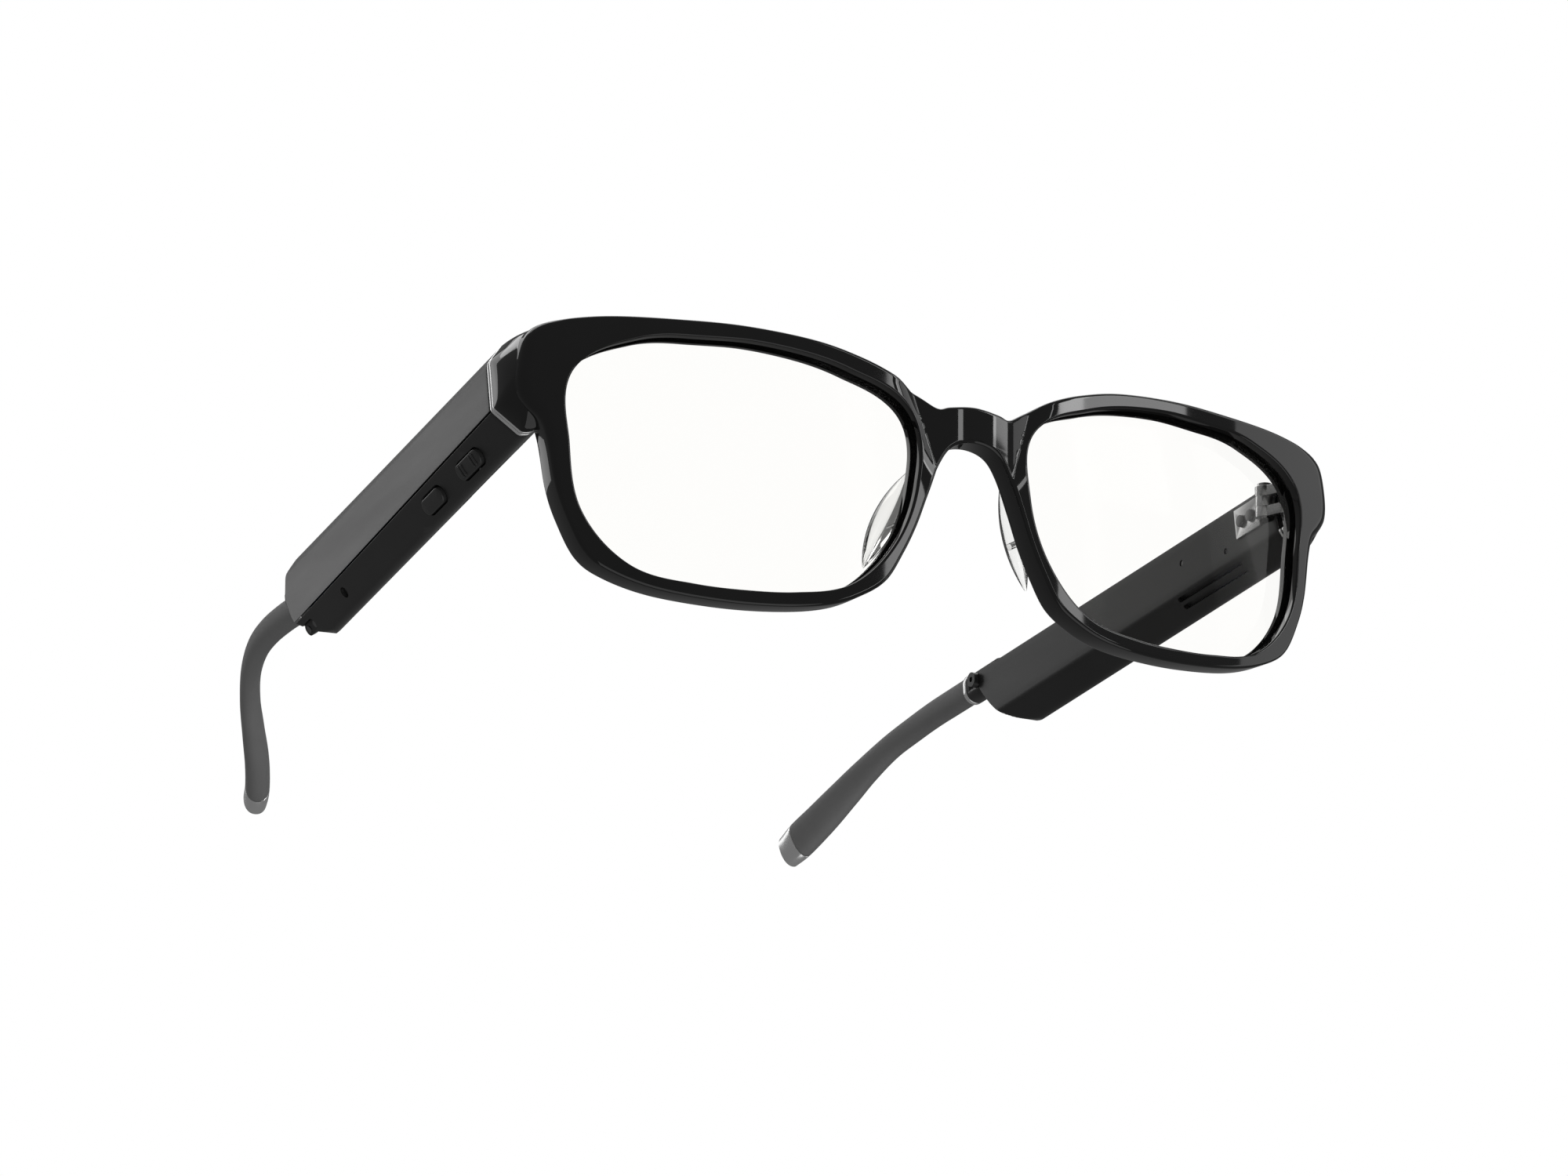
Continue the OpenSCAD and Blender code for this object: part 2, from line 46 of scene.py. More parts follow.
def turnX(degrees):
    a = math.radians(degrees)
    return np.array([[1, 0, 0], [0, math.cos(a), -math.sin(a)], [0, math.sin(a), math.cos(a)]])


def turnY(a):
    # About y, by an angle in radians
    return np.array([[math.cos(a), 0, math.sin(a)], [0, 1, 0], [-math.sin(a), 0, math.cos(a)]])


def placed(points, side, onArm):
    # Drawn in millimetres on the wearer's left; turned to the arm's tilt, mirrored, leaned, set down
    p = np.asarray(points, float).reshape(-1, 3)
    if onArm:
        p = p @ turnX(-stand["armTilt"]).T
    p = p * [side, 1, 1]
    p = p @ turnX(stand["lean"]).T + [0, stand["y"], stand["z"]]
    return p * 0.001


def gridFaces(rows, cols, closeCols=True):
    # Quads of a grid of points; columns close on themselves
    i, j = np.meshgrid(np.arange(rows - 1), np.arange(cols if closeCols else cols - 1), indexing="ij")
    k = (j + 1) % cols
    return np.stack([i * cols + j, i * cols + k, (i + 1) * cols + k, (i + 1) * cols + j], -1).reshape(-1, 4)


def cappedTube(rings):
    # rings is rows x columns x 3; both ends are closed by a fan round their middle
    rows, cols, _ = rings.shape
    points = np.concatenate([rings.reshape(-1, 3), [rings[0].mean(0)], [rings[-1].mean(0)]])
    j = np.arange(cols)
    k = (j + 1) % cols
    first = np.stack([k, j, np.full(cols, rows * cols)], -1)
    last = np.stack([(rows - 1) * cols + j, (rows - 1) * cols + k, np.full(cols, rows * cols + 1)], -1)
    return points, [*gridFaces(rows, cols).tolist(), *first.tolist(), *last.tolist()]


def joined(parts):
    # Several (points, faces) as one
    points, faces, start = [], [], 0
    for p, f in parts:
        points.append(p)
        faces += [[v + start for v in face] for face in f]
        start += len(p)
    return np.concatenate(points), faces


def newMesh(name, points, faces):
    mesh = bpy.data.meshes.new(name)
    mesh.from_pydata([tuple(p) for p in points.tolist()], [], [tuple(f) for f in faces])
    cleaned(mesh)
    return mesh


def cleaned(mesh, distance=2e-6):
    # Doubles merged, empty faces gone, faces outwards
    b = bmesh.new()
    b.from_mesh(mesh)
    bmesh.ops.remove_doubles(b, verts=b.verts, dist=distance)
    bmesh.ops.dissolve_degenerate(b, edges=b.edges, dist=distance / 2)
    bmesh.ops.recalc_face_normals(b, faces=b.faces)
    b.to_mesh(mesh)
    b.free()
    mesh.update()


def newPiece(name, mesh, finish, body, replaced=(), sharp=38):
    piece = bpy.data.objects.new(name, mesh)
    bpy.context.scene.collection.objects.link(piece)
    mesh.materials.clear()
    mesh.materials.append(finish)
    mesh.polygons.foreach_set("use_smooth", np.ones(len(mesh.polygons), bool))
    mesh.set_sharp_from_angle(angle=math.radians(sharp))
    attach(piece, body)
    if replaced:
        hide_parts(*replaced)


def withModifier(mesh, kind, **settings):
    # The mesh after one modifier
    holder = bpy.data.objects.new("holder", mesh)
    bpy.context.scene.collection.objects.link(holder)
    modifier = holder.modifiers.new(kind, kind)
    for key, value in settings.items():
        setattr(modifier, key, value)
    depsgraph = bpy.context.evaluated_depsgraph_get()
    result = bpy.data.meshes.new_from_object(holder.evaluated_get(depsgraph))
    bpy.data.objects.remove(holder)
    return result


def carved(mesh, cutter, operation="DIFFERENCE"):
    # One solid cut from, or added to, another
    tool = bpy.data.objects.new("tool", cutter)
    bpy.context.scene.collection.objects.link(tool)
    result = withModifier(mesh, "BOOLEAN", object=tool, operation=operation, solver="EXACT")
    bpy.data.objects.remove(tool)
    return result


def catmull(points, steps, closed):
    # Catmull-Rom curve: each stretch is a cubic of its two ends and their neighbours
    p = np.asarray(points, float)
    if closed:
        a, b, c, d = np.roll(p, 1, 0), p, np.roll(p, -1, 0), np.roll(p, -2, 0)
    else:
        q = np.concatenate([[2 * p[0] - p[1]], p, [2 * p[-1] - p[-2]]])
        a, b, c, d = q[:-3], q[1:-2], q[2:-1], q[3:]
    t = (np.arange(steps) / steps)[None, :, None]
    a, b, c, d = a[:, None], b[:, None], c[:, None], d[:, None]
    made = 0.5 * (2 * b + (c - a) * t + (2 * a - 5 * b + 4 * c - d) * t**2 + (3 * b - a - 3 * c + d) * t**3)
    made = made.reshape(-1, p.shape[1])
    return made if closed else np.concatenate([made, p[-1:]])


def evenly(points, count):
    # The same line with its points a constant distance apart
    along = np.concatenate([[0], np.cumsum(np.linalg.norm(np.diff(points, axis=0), axis=1))])
    wanted = np.linspace(0, along[-1], count)
    return np.stack([np.interp(wanted, along, points[:, k]) for k in range(points.shape[1])], -1)


def roundedSection(corners, radii, perSide=6, perCorner=5):
    # corners is rings x corners x 2. Each corner becomes a quadratic curve that starts and ends one
    # radius away from it, and the straight sides between are split evenly
    before = np.roll(corners, 1, 1) - corners
    after = np.roll(corners, -1, 1) - corners
    radii = np.asarray(radii, float).reshape(1, -1, 1)
    lengthBefore = np.linalg.norm(before, axis=2, keepdims=True)
    lengthAfter = np.linalg.norm(after, axis=2, keepdims=True)
    start = corners + before / lengthBefore * np.minimum(radii, 0.45 * lengthBefore)
    end = corners + after / lengthAfter * np.minimum(radii, 0.45 * lengthAfter)
    u = np.linspace(0, 1, perCorner)[None, None, :, None]
    bend = (1 - u) ** 2 * start[:, :, None] + 2 * u * (1 - u) * corners[:, :, None] + u**2 * end[:, :, None]
    w = (np.arange(1, perSide) / perSide)[None, None, :, None]
    side = end[:, :, None] * (1 - w) + np.roll(start, -1, 1)[:, :, None] * w
    return np.concatenate([bend, side], 2).reshape(len(corners), -1, 2)


# A socket that adds its own Math nodes
class Wire:
    def __init__(self, tree, socket):
        self.tree, self.socket = tree, socket

    def node(self, kind, settings=None, values=None, out=0):
        made = self.tree.nodes.new(kind)
        for key, value in (settings or {}).items():
            setattr(made, key, value)
        for key, value in (values or {}).items():
            if isinstance(value, Wire):
                self.tree.links.new(value.socket, made.inputs[key])
            else:
                made.inputs[key].default_value = value
        return Wire(self.tree, made.outputs[out]) if len(made.outputs) else None

    def combined(self, operation, first, second):
        return self.node("ShaderNodeMath", {"operation": operation}, {0: first, 1: second})

    def __add__(self, other):
        return self.combined("ADD", self, other)

    def __radd__(self, other):
        return self.combined("ADD", other, self)

    def __sub__(self, other):
        return self.combined("SUBTRACT", self, other)

    def __rsub__(self, other):
        return self.combined("SUBTRACT", other, self)

    def __mul__(self, other):
        return self.combined("MULTIPLY", self, other)

    def __rmul__(self, other):
        return self.combined("MULTIPLY", other, self)


def shade(level):
    return (*level, 1) if isinstance(level, (tuple, list)) else (level, level, level, 1)


def startMaterial(name):
    material = bpy.data.materials.new(name)
    material.use_nodes = True
    tree = material.node_tree
    tree.nodes.clear()
    coords = tree.nodes.new("ShaderNodeTexCoord")
    return material, Wire(tree, coords.outputs["Object"])


def noise(place, scale, detail=3.0, roughness=0.55, stretch=None):
    if stretch:
        place = place.node("ShaderNodeMapping", None, {"Vector": place, "Scale": stretch})
    return place.node("ShaderNodeTexNoise", None, {
        "Vector": place, "Scale": scale, "Detail": detail, "Roughness": roughness})


def ramped(value, low, high):
    # 0 below low, 1 above high
    return value.node("ShaderNodeMapRange", {"clamp": True}, {
        "Value": value, "From Min": low, "From Max": high})


def blended(factor, first, second):
    return factor.node("ShaderNodeMix", {"data_type": "RGBA"}, {
        "Factor": factor, 6: shade(first) if not isinstance(first, Wire) else first,
        7: shade(second) if not isinstance(second, Wire) else second}, out=2)


def finishMaterial(name, look):
    # One finish from its settings: two tones mixed by a cloud, roughness that wanders with wiped
    # streaks, a fine grain in the bump, and worn edges
    material, place = startMaterial(name)
    cloud = noise(place, look.get("cloudScale", 60), 4)
    tone = blended(ramped(cloud, 0.3, 0.7), look["tone"], look.get("tone2", look["tone"]))
    streak = noise(place, look.get("streakScale", 140), 5, 0.6, look.get("stretch", (1, 0.12, 1)))
    rough = look["rough"] + look.get("roughSpread", 0.06) * (ramped(streak, 0.3, 0.7) - 0.5)
    speck = noise(place, look.get("grainScale", 3500), 2, 0.5, look.get("grainStretch"))
    if look.get("speckle"):
        tone = blended(ramped(speck, 0.52, 0.72) * look["speckle"], tone, look.get("speckleTone", 0.2))
    if look.get("wear"):
        edge = place.node("ShaderNodeNewGeometry", None, None, out=7)
        worn = ramped(edge, 0.52, 0.6) * look["wear"]
        tone = blended(worn, tone, look.get("wearTone", 0.12))
    bump = place.node("ShaderNodeBump", None, {
        "Strength": look.get("grain", 0.1), "Distance": look.get("grainDepth", 0.00002), "Height": speck})
    values = {"Base Color": tone, "Roughness": rough, "Normal": bump,
              "Metallic": look.get("metal", 0.0), "Specular IOR Level": look.get("gloss", 0.5)}
    if look.get("coat"):
        values["Coat Weight"] = look["coat"]
        values["Coat Roughness"] = 0.05
    shader = place.node("ShaderNodeBsdfPrincipled", None, values)
    place.node("ShaderNodeOutputMaterial", None, {"Surface": shader})
    return material


finishLooks = {
    "acetate": {"tone": 0.004, "tone2": 0.0065, "cloudScale": 30, "rough": 0.035, "roughSpread": 0.03,
                "streakScale": 90, "stretch": (0.3, 1, 1), "grainScale": 900, "grain": 0.012},
    "satinCover": {"tone": 0.03, "tone2": 0.036, "rough": 0.36, "roughSpread": 0.06, "grainScale": 5200,
                   "grain": 0.22, "speckle": 0.25, "speckleTone": 0.06, "wear": 0.25, "wearTone": 0.09,
                   "gloss": 0.33},
    "satinHousing": {"tone": 0.011, "tone2": 0.014, "rough": 0.34, "roughSpread": 0.07, "grainScale": 5600,
                     "grain": 0.18, "speckle": 0.2, "speckleTone": 0.03, "wear": 0.2, "wearTone": 0.05,
                     "gloss": 0.4},
    "rubber": {"tone": 0.15, "tone2": 0.17, "rough": 0.58, "roughSpread": 0.1, "grainScale": 6000,
               "grain": 0.12, "grainDepth": 0.000006, "speckle": 0.2, "speckleTone": 0.19, "gloss": 0.35},
    "chrome": {"tone": 0.9, "tone2": 0.95, "rough": 0.26, "roughSpread": 0.06, "metal": 1.0,
               "grainScale": 2600, "grain": 0.03, "grainStretch": (1, 0.2, 1)},
    "brushedSteel": {"tone": 0.62, "tone2": 0.74, "rough": 0.26, "roughSpread": 0.14, "metal": 1.0,
                     "grainScale": 5200, "grain": 0.18, "grainStretch": (1, 0.08, 1),
                     "speckle": 0.3, "speckleTone": 0.4},
    "darkSteel": {"tone": 0.09, "tone2": 0.14, "rough": 0.32, "roughSpread": 0.1, "metal": 1.0,
                  "grainScale": 5200, "grain": 0.15},
    "gasketRubber": {"tone": 0.012, "tone2": 0.018, "rough": 0.7, "grain": 0.3, "gloss": 0.3},
    "cellWrap": {"tone": (0.05, 0.16, 0.42), "tone2": (0.06, 0.2, 0.5), "rough": 0.28,
                 "grainScale": 1500, "grain": 0.1, "speckle": 0.1},
    "boardGreen": {"tone": (0.01, 0.09, 0.03), "tone2": (0.02, 0.14, 0.05), "cloudScale": 900,
                   "rough": 0.35, "speckle": 0.5, "speckleTone": (0.6, 0.45, 0.12), "grainScale": 1500},
    "speakerCan": {"tone": 0.2, "tone2": 0.28, "rough": 0.4, "metal": 1.0, "grain": 0.2},
    "wireSteel": {"tone": 0.55, "tone2": 0.7, "rough": 0.22, "metal": 1.0, "grain": 0.1},
    "lightPipe": {"tone": 0.09, "tone2": 0.14, "rough": 0.3, "coat": 0.6, "grain": 0.05},
    "sensorGlass": {"tone": (0.006, 0.005, 0.009), "tone2": (0.012, 0.008, 0.016), "rough": 0.08,
                    "coat": 0.8, "grain": 0.02},
    "buttonPlastic": {"tone": 0.013, "tone2": 0.017, "rough": 0.3, "roughSpread": 0.08,
                      "grainScale": 5600, "grain": 0.15, "wear": 0.3, "wearTone": 0.06},
    "switchDome": {"tone": (0.7, 0.55, 0.25), "tone2": (0.8, 0.66, 0.35), "rough": 0.2, "metal": 1.0},
    "contactMetal": {"tone": 0.12, "tone2": 0.2, "rough": 0.3, "metal": 1.0, "grain": 0.1},
    "carrierPlastic": {"tone": 0.006, "tone2": 0.01, "rough": 0.45, "grain": 0.2},
}
finishes = {name: finishMaterial(name, look) for name, look in finishLooks.items()}


def clearMaterial(name, look):
    # A clear sheet: what lies behind shows through, with a thin gloss that grows at a slant,
    # smeared by faint wiped marks
    material, place = startMaterial(name)
    smear = ramped(noise(place, look["smearScale"], 4, 0.6, (1, 1, 0.35)), 0.45, 0.75)
    clear = place.node("ShaderNodeBsdfTransparent", None, {"Color": shade(look["tint"])})
    gloss = place.node("ShaderNodeBsdfGlossy", None, {
        "Color": shade(look["glossTone"]), "Roughness": look["rough"] + 0.05 * smear})
    slant = place.node("ShaderNodeFresnel", None, {"IOR": look["bending"]})
    shader = place.node("ShaderNodeMixShader", None, {
        0: slant * look["share"] + look["least"], 1: clear, 2: gloss})
    place.node("ShaderNodeOutputMaterial", None, {"Surface": shader})
    return material


finishes["lensClear"] = clearMaterial("lensClear", {
    "smearScale": 40, "tint": (0.995, 0.993, 0.985), "glossTone": 0.9,
    "rough": 0.01, "bending": 1.33, "share": 0.035, "least": 0.0})
finishes["padClear"] = clearMaterial("padClear", {
    "smearScale": 300, "tint": (0.975, 0.975, 0.97), "glossTone": 0.95,
    "rough": 0.04, "bending": 1.46, "share": 1.2, "least": 0.01})


def meshMaterial(name, pitch):
    # Woven wire: two crossed waves, the holes between them almost black
    material, place = startMaterial(name)
    settings = {"wave_type": "BANDS", "bands_direction": "Y"}
    across = place.node("ShaderNodeTexWave", settings, {"Vector": place, "Scale": pitch}, out=1)
    along = place.node("ShaderNodeTexWave", {**settings, "bands_direction": "DIAGONAL"}, {
        "Vector": place, "Scale": pitch}, out=1)
    wire = ramped(across.combined("MAXIMUM", across, along), 0.6, 0.9)
    bump = place.node("ShaderNodeBump", None, {"Strength": 0.6, "Distance": 0.00005, "Height": wire})
    shader = place.node("ShaderNodeBsdfPrincipled", None, {
        "Base Color": blended(wire, 0.004, 0.05), "Metallic": wire * 0.8,
        "Roughness": 0.5 - 0.15 * wire, "Normal": bump})
    place.node("ShaderNodeOutputMaterial", None, {"Surface": shader})
    return material


finishes["fineMesh"] = meshMaterial("fineMesh", 1600)
print("finishes made:", len(finishes))


frontLook = {
    "wrap": 293.0, "thick": 4.6, "lensX": 35.0,
    "outerRound": 0.5, "cornerRound": 1.1, "backRound": 0.7, "innerRound": 0.32,
    "lensRadius": 200.0, "lensThick": 2.0, "lensSet": 0.75, "groove": 0.8,
    "valleyCurve": 0.018, "valleyStart": 1.5, "valleyWidth": 3.6,
    "creaseAt": 5.4, "creaseLean": 0.32, "creaseRange": (5, 10), "fadeFrom": -6, "fadeOver": 12,
    "columns": 470, "wallColumns": 12,
}
# Half of the outline from the bridge's top round to its underside
outlineHalf = [
    (0, 12.6), (4, 12.1), (5.9, 11.7), (8.7, 13.2), (13, 15.6), (18.3, 17.5), (25.5, 19), (36, 19.68),
    (46, 19.4), (55, 18.8), (61.4, 17.7), (64.9, 16.6), (66.6, 14.5), (67.4, 10), (67.1, 6.9), (65.8, 4.9),
    (64.1, 3.2), (63.1, 0.3), (61.9, -5.9), (60.3, -10.4), (57.6, -15.3), (53.9, -17.8), (47.3, -19.7),
    (38, -20.5), (29.6, -20.3), (22.6, -19.3), (17.9, -17.5), (14, -14.8), (11.3, -10.4), (9.3, -6.2),
    (7.6, -1.6), (5.5, 3.6), (3.4, 6.3), (0, 7.2)]
# Radii of the lens opening, one every 22.5 degrees from the nose side over the top
openingRadii = [25.6, 26.9, 21.6, 18.4, 17.5, 18.6, 22.6, 27.1,
                25.2, 25.1, 23.3, 19.8, 18.5, 19.5, 22.4, 24.1]


def openingRadius(angle):
    # Smooth closed curve through the radii, at any angle in radians
    dense = catmull(np.array(openingRadii)[:, None], 64, True)[:, 0]
    spot = np.mod(angle, 2 * np.pi) / (2 * np.pi) * len(dense)
    return np.interp(spot, np.arange(len(dense) + 1), np.append(dense, dense[0]))


def openingPoint(angle, grow):
    r = openingRadius(angle) + grow
    return np.stack([frontLook["lensX"] - r * np.cos(angle), r * np.sin(angle)], -1)


def frontDepth(p):
    # The wrap is a cylinder. Beside the bridge the face sinks with the square of x up to a crease
    # and rises again to the rim, and lower down this valley fades away
    look = frontLook
    x, z = np.abs(p[..., 0]), p[..., 1]
    y = look["wrap"] - np.sqrt(look["wrap"] ** 2 - x**2)
    crease = np.clip(look["creaseAt"] + look["creaseLean"] * z, *look["creaseRange"])
    inside = look["valleyCurve"] * np.clip(np.minimum(x, crease) - look["valleyStart"], 0, None) ** 2
    outside = np.clip(1 - (x - crease) / look["valleyWidth"], 0, 1) ** 2
    fade = np.clip((z - look["fadeFrom"]) / look["fadeOver"], 0, 1)
    fade = fade**2 * (3 - 2 * fade)
    return y + fade * inside * outside


def backDepth(p):
    # The same cylinder, smaller by the front's thickness
    inner = frontLook["wrap"] - frontLook["thick"]
    return frontLook["wrap"] - np.sqrt(inner**2 - p[..., 0] ** 2)


lensTurn = math.asin(frontLook["lensX"] / frontLook["wrap"])
lensReach = frontLook["wrap"] - frontLook["lensSet"] - frontLook["lensRadius"]
lensMiddle = (lensReach * math.sin(lensTurn), frontLook["wrap"] - lensReach * math.cos(lensTurn))


def lensDepth(p, inset):
    # Front of a sphere about the lens's own centre, seen along y
    r = frontLook["lensRadius"] - inset
    flat = (p[..., 0] - lensMiddle[0]) ** 2 + p[..., 1] ** 2
    return lensMiddle[1] - np.sqrt(r**2 - flat)


def frontHalf():
    # A closed profile carried round the rim: u runs round the outline, v round the rim's section
    half = np.array(outlineHalf, float)
    mirror = half[1:-1][::-1] * [-1, 1]
    full = catmull(np.concatenate([half, mirror]), 16, True)
    curve = evenly(full[:(len(half) - 1) * 16 + 1], frontLook["columns"])
    curve[0, 0] = curve[-1, 0] = 0
    tangent = np.gradient(curve, axis=0)
    outward = np.stack([-tangent[:, 1], tangent[:, 0]], -1)
    outward /= np.linalg.norm(outward, axis=1, keepdims=True)
    outward[0], outward[-1] = (0, 1), (0, -1)
    wallZ = np.linspace(curve[-1, 1], curve[0, 1], frontLook["wallColumns"] + 2)[1:-1]
    wall = np.stack([np.zeros_like(wallZ), wallZ], -1)
    outer = np.concatenate([curve, wall])
    outward = np.concatenate([outward, np.zeros_like(wall)])
    isWall = np.arange(len(outer)) >= len(curve)
    low, high = curve[-1, 1], curve[0, 1]

    angle = np.unwrap(np.arctan2(outer[:, 1], frontLook["lensX"] - outer[:, 0]))
    window = 9
    turns = 2 * np.pi * np.sign(angle[-1] - angle[0])
    padded = np.concatenate([angle[-window:] - turns, angle, angle[:window] + turns])
    angle = np.convolve(padded, np.ones(2 * window + 1) / (2 * window + 1), "valid")

    def atOuter(inset):
        inset = np.broadcast_to(inset, len(outer))
        p = outer - outward * inset[:, None]
        p[isWall, 1] = np.clip(p[isWall, 1], low + inset[isWall], high - inset[isWall])
        return p

    rows = []

    def add(p, y):
        rows.append(np.stack([p[:, 0], y, p[:, 1]], -1))

    corner = np.linspace(0, np.pi / 2, 6)
    turned = np.clip((outer[:, 0] - 60) / 6, 0, 1)
    r = frontLook["outerRound"] + frontLook["cornerRound"] * turned**2 * (3 - 2 * turned)
    for a in corner[::-1]:  # outer front edge, from the wall to the face
        p = atOuter(r * (1 - math.sin(a)))
        add(p, frontDepth(p) + r * (1 - math.cos(a)))
    rim, ri = atOuter(r), frontLook["innerRound"]
    edge = openingPoint(angle, ri)
    for s in np.linspace(0, 1, 22)[1:-1]:  # front face
        p = rim * (1 - s) + edge * s
        add(p, frontDepth(p))
    for a in corner:  # front edge of the opening
        p = openingPoint(angle, ri * (1 - math.sin(a)))
        add(p, frontDepth(p) + ri * (1 - math.cos(a)))
    lip = openingPoint(angle, 0)
    deep = openingPoint(angle, frontLook["groove"] + 0.1)
    front, back = lensDepth(lip, -0.06), lensDepth(lip, frontLook["lensThick"] + 0.06)
    for p, y in ((lip, front), (deep, lensDepth(deep, -0.06)),
                 (deep, lensDepth(deep, frontLook["lensThick"] + 0.06)), (lip, back)):
        add(p, y)
    for a in corner[::-1]:  # back edge of the opening
        p = openingPoint(angle, ri * (1 - math.sin(a)))
        add(p, np.maximum(backDepth(p) - ri * (1 - math.cos(a)), back + 0.05))
    rb = frontLook["backRound"]
    inner, outerBack = openingPoint(angle, ri), atOuter(rb)
    for s in np.linspace(0, 1, 10)[1:-1]:  # back face
        p = inner * (1 - s) + outerBack * s
        add(p, np.maximum(backDepth(p), back * (1 - s) + 0.05))
    for a in corner:  # outer back edge
        p = atOuter(rb * (1 - math.sin(a)))
        add(p, backDepth(p) - rb * (1 - math.cos(a)))
    grid = np.stack(rows)
    count, cols = grid.shape[:2]
    faces = gridFaces(count + 1, cols)
    faces = faces % (count * cols)  # the last row meets the first
    points = grid.reshape(-1, 3)
    onMiddle = (np.abs(points[:, 0]) < 1e-6)[faces].all(1)
    return points, faces[~onMiddle]


jointLook = {"swing": 23.7, "tip": 7.7, "at": (60.9, 11.4, 12.4)}


def jointDepth(x, z, offset):
    # Where the slanted joint between front and arm lies, in the arm's own frame: a plane through
    # one point, moved along its normal by the offset
    swing, tip = math.radians(jointLook["swing"]), math.radians(jointLook["tip"])
    at = jointLook["at"]
    n = (-math.sin(swing) * math.cos(tip), math.cos(swing) * math.cos(tip), -math.sin(tip))
    return at[1] + (offset - n[0] * (x - at[0]) - n[2] * (z - at[2])) / n[1]


# The arm's section at its front and back, and where these two lie along it
armFront = np.array([(68.5, 7.6), (68.5, 15.4), (66.6, 18.2), (60.9, 15.1),
                     (60.9, 6.6), (64, 3.6), (65.2, 3.6)])
armBack = np.array([(68.5, 6.4), (68.5, 16.6), (66.9, 19.5), (61, 15.5),
                    (61, 6), (64.3, 2.4), (65.5, 2.4)])
armStart, armRun = 16, 84
hingeAt = (60.3, 14.8, 10.4)


def armSection(y):
    t = ((np.asarray(y, float) - armStart) / armRun)[..., None, None]
    return armFront * (1 - t) + armBack * t


def unlevel(points):
    # From the arm's frame to the front's
    return points @ turnX(-stand["armTilt"]).T


def level(points):
    return points @ turnX(stand["armTilt"]).T


endpieceLook = {
    "start": 9.3, "swell": 0.3, "joint": 0.6, "reach": 68.45,
    "head": [(67.4, 7.4), (67.4, 11.4), (65.6, 16.3), (60.2, 17.7), (60.2, 3.4), (63.8, 3.4), (65.9, 4.8)],
}


def endpieceBlock():
    # Ruled from the outline behind the rim's face to the arm's section on the joint, and swollen
    # between the two by 4t(1 - t)
    look = endpieceLook
    head = roundedSection(np.array(look["head"])[None], [2.4, 3.4, 1.6, 0.5, 0.5, 0.6, 1.6], 6, 7)[0]
    headRing = np.stack([head[:, 0], np.full(len(head), look["start"]), head[:, 1]], -1)
    tail = roundedSection(armSection(14)[None], [0.4, 0.7, 0.55, 0.4, 0.5, 0.5, 0.45], 6, 7)[0]
    tailDepth = jointDepth(tail[:, 0], tail[:, 1], -look["joint"])
    tailRing = unlevel(np.stack([tail[:, 0], tailDepth, tail[:, 1]], -1))
    t = np.linspace(0, 1, 18)[:, None, None]
    rings = headRing * (1 - t) + tailRing * t
    out = (rings - rings.mean(1, keepdims=True)) * [1, 0, 1]
    out /= np.linalg.norm(out, axis=2, keepdims=True)
    points, faces = cappedTube(rings + out * look["swell"] * 4 * t * (1 - t))
    return np.clip(points, -look["reach"], look["reach"]), faces


def openingPrism():
    # The lens opening carried straight through
    edge = openingPoint(np.linspace(0, 2 * np.pi, 144, endpoint=False), 0.03)
    rings = [np.stack([edge[:, 0], np.full(144, y), edge[:, 1]], -1) for y in (-5.0, 25.0)]
    return cappedTube(np.stack(rings))


def cylinderParts(centre, axis, radius, low, high, sides=48):
    # A closed tube: a circle carried along an axis
    axis = np.array(axis, float)
    u = np.cross(axis, [0.3, 0.5, 0.81])
    u /= np.linalg.norm(u)
    w = np.cross(axis, u)
    a = np.linspace(0, 2 * np.pi, sides, endpoint=False)[None, :, None]
    h = np.linspace(low, high, 2)[:, None, None]
    rings = np.array(centre, float) + radius * (np.cos(a) * u + np.sin(a) * w) + h * axis
    return cappedTube(rings)


points, faces = frontHalf()
right = points * [-1, 1, 1]
both = np.concatenate([points, right])
allFaces = [*faces.tolist(), *(faces[:, ::-1] + len(points)).tolist()]
frontMesh = newMesh("front_frame_glossy", placed(both, 1, False), allFaces)
for side in (1, -1):
    p, f = endpieceBlock()
    block = newMesh("block", placed(p, side, False), f)
    p, f = openingPrism()
    block = carved(block, newMesh("opening", placed(p, side, False), f))
    frontMesh = carved(frontMesh, block, "UNION")
    p, f = cylinderParts(hingeAt, (0, 0, 1), 1.72, -3, 3)
    frontMesh = carved(frontMesh, newMesh("pocket", placed(p, side, False), f))
newPiece("front_frame_glossy", frontMesh, finishes["acetate"], "front", ["front_frame"], 30)
print("front frame:", len(frontMesh.polygons), "faces")


def lensParts():
    # A disc of rings round the lens centre, front and back on two spheres
    angle = np.linspace(0, 2 * np.pi, 144, endpoint=False)
    edge = openingPoint(angle, frontLook["groove"])
    centre = np.array([frontLook["lensX"], 0])
    fractions = np.concatenate([np.linspace(0.02, 0.96, 14), [1.0]])
    rows = []
    for s in fractions:
        p = centre + (edge - centre) * s
        rows.append(np.stack([p[:, 0], lensDepth(p, 0), p[:, 1]], -1))
    for s in fractions[::-1]:
        p = centre + (edge - centre) * s
        rows.append(np.stack([p[:, 0], lensDepth(p, frontLook["lensThick"]), p[:, 1]], -1))
    return cappedTube(np.stack(rows))


padLook = {"place": (11.34, 7.45, -3.75), "turn": (-18.5, -14.4, 75), "half": 7.75,
           "wide": 14.75, "offset": 12.55, "ball": 20, "frontCentre": 19, "backCentre": -17.5,
           "studAt": (9.9, 3.7, -5.2), "studRadius": 0.5, "studLength": 3.9}


